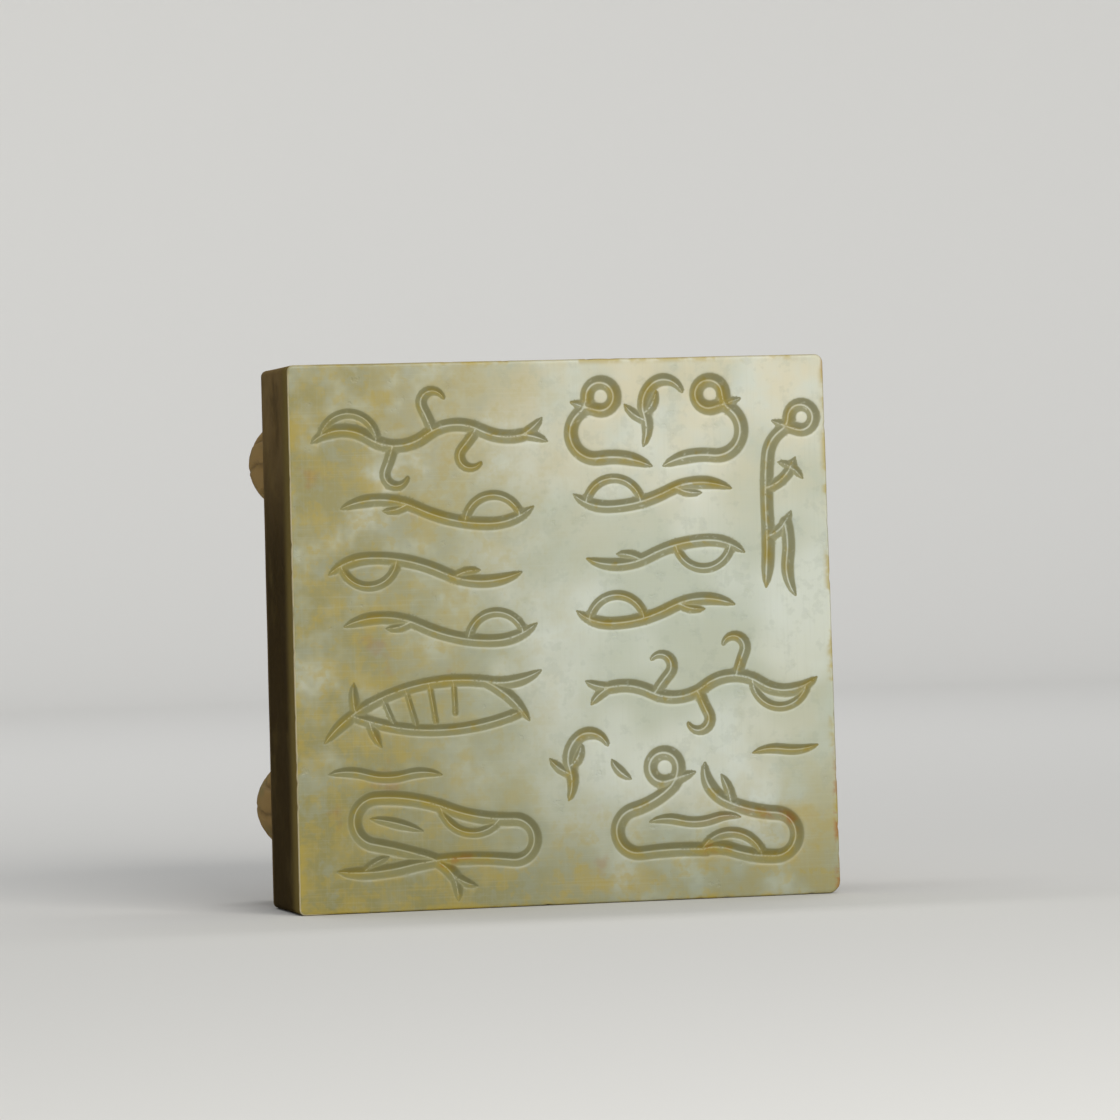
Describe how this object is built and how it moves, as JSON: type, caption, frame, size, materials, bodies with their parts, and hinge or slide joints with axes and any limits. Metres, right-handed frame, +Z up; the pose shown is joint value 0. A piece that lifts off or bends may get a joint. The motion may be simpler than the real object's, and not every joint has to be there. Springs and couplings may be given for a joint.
{
  "type": "jade seal stamp",
  "caption": "Carved jade seal: a square block with a stamp face cut with ornamental strokes and a crouching beast knob pierced for a cord, lying on one side.",
  "frame": {"origin": "under the middle of the seal, on the surface that its side lies on", "axes": "+Z up as it lies, -Y out of the stamp face, +Y towards the knob, X across the face"},
  "size_m": [0.0714, 0.05, 0.07],
  "materials": {
    "jade": "polished nephrite, waxy, grey-green with yellow and russet stains"
  },
  "bodies": {
    "root": {"jade_seal": "jade"}
  },
  "joints": []
}
